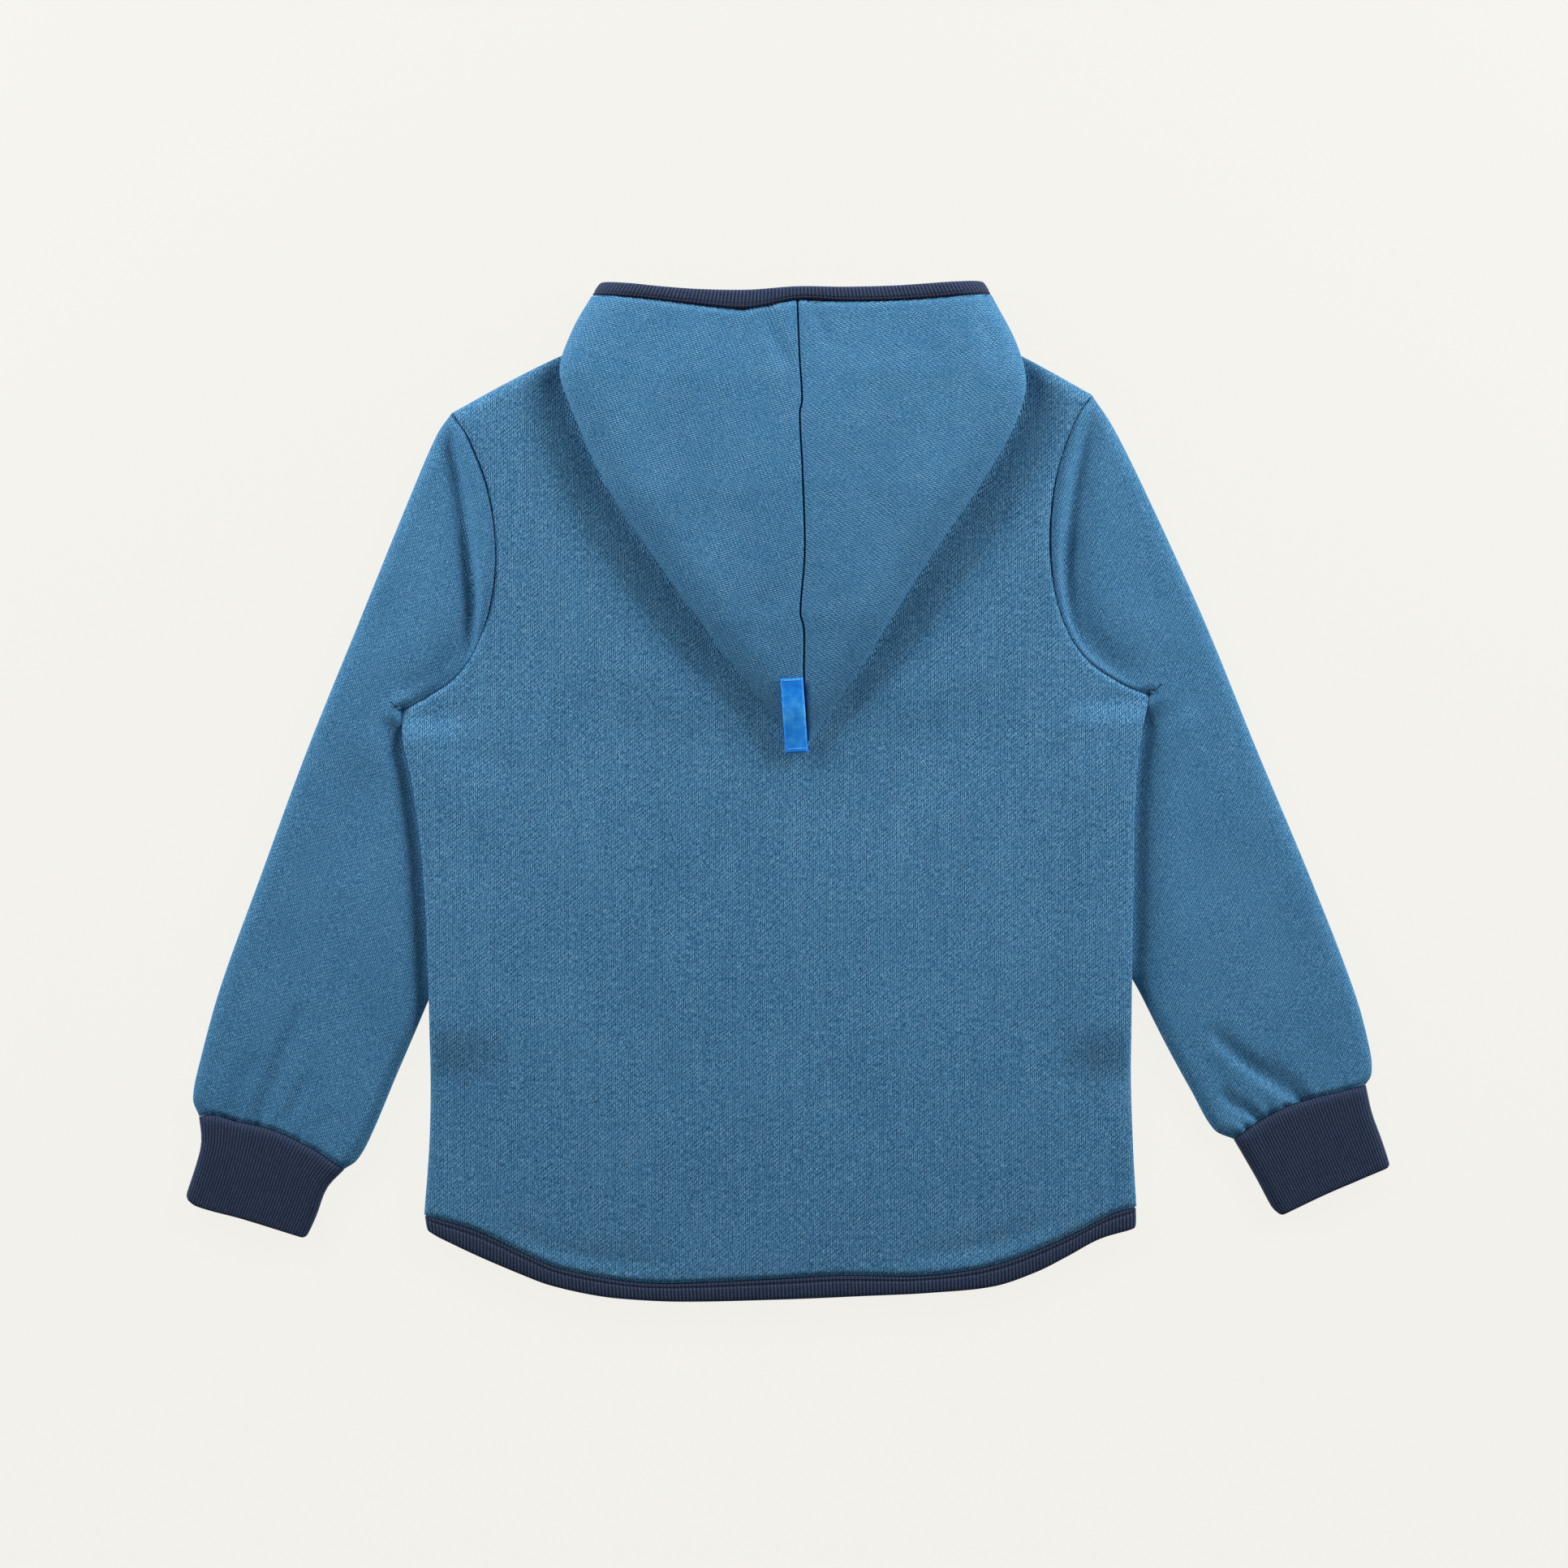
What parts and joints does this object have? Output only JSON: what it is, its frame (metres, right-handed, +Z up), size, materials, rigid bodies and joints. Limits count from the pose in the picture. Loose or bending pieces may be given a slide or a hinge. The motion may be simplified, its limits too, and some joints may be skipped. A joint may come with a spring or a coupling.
{
  "type": "hooded sweat jacket",
  "caption": "Child's zipped sweat jacket with ribbed cuffs and bindings, laid flat on its front with its pointed hood folded down on the back.",
  "frame": {"origin": "middle of the laid jacket's outline, on the surface it rests on", "axes": "+X towards the wearer's right sleeve, +Y towards the hood, +Z up out of the jacket's back"},
  "size_m": [0.64, 0.5414, 0.0213],
  "materials": {
    "sweat_knit": "brushed and heathered cotton sweat knit, denim blue, matt with a short nap",
    "rib_knit": "navy one by one rib knit, matt",
    "label_satin": "bright blue satin ribbon with a soft gloss",
    "zip_tape": "navy woven zip tape, matt",
    "zip_metal": "nickel finished metal, satin"
  },
  "bodies": {
    "garment": {"back": "sweat_knit", "front_left": "sweat_knit", "front_right": "sweat_knit", "sleeve_left": "sweat_knit", "sleeve_right": "sweat_knit", "cuff_left": "rib_knit", "cuff_right": "rib_knit", "hood_left": "sweat_knit", "hood_right": "sweat_knit", "hood_binding": "rib_knit", "hem_back": "rib_knit", "hem_front_left": "rib_knit", "hem_front_right": "rib_knit", "label": "label_satin", "zip": "zip_tape", "zip_slider": "zip_metal"},
    "pull_tab": {"zip_pull": "zip_metal"}
  },
  "joints": [
    {"name": "pull_tab_hinge", "type": "hinge", "parent": "garment", "child": "pull_tab", "pos_m": [0.00573, 0.183, 0.0008], "axis": [1, 0, 0], "range_deg": [0, 170]}
  ]
}
